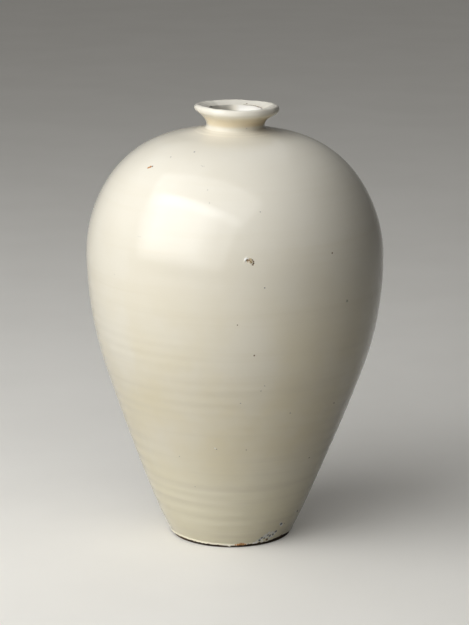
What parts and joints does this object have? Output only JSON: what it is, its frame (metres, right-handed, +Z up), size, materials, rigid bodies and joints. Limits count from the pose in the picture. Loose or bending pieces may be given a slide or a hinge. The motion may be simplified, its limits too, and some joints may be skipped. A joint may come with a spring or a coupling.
{
  "type": "meiping vase",
  "caption": "Meiping bottle vase in ivory-glazed stoneware: tapering body, broad round shoulder, short waisted neck and rolled flaring lip; stands on a ring foot and holds a branch.",
  "frame": {"origin": "centre of the foot, on the plane that the vase stands on", "axes": "+Z up along the axis of the vase; the vase is round, and the side that was pictured faces -Y"},
  "size_m": [0.2036, 0.2036, 0.3],
  "materials": {
    "clay": "bare fired stoneware",
    "luting": "bare fired slip",
    "slip": "fired white slip",
    "glaze": "glossy ivory glaze",
    "lining": "glossy ivory glaze, thinner"
  },
  "bodies": {
    "root": {"base_and_foot": "clay", "lower_wall": "clay", "belly_wall": "clay", "shoulder_dome": "clay", "neck_and_mouth": "clay", "base_luting": "luting", "lower_luting": "luting", "shoulder_luting": "luting", "neck_luting": "luting", "white_slip": "slip", "outer_glaze": "glaze", "lining_glaze": "lining"}
  },
  "joints": []
}
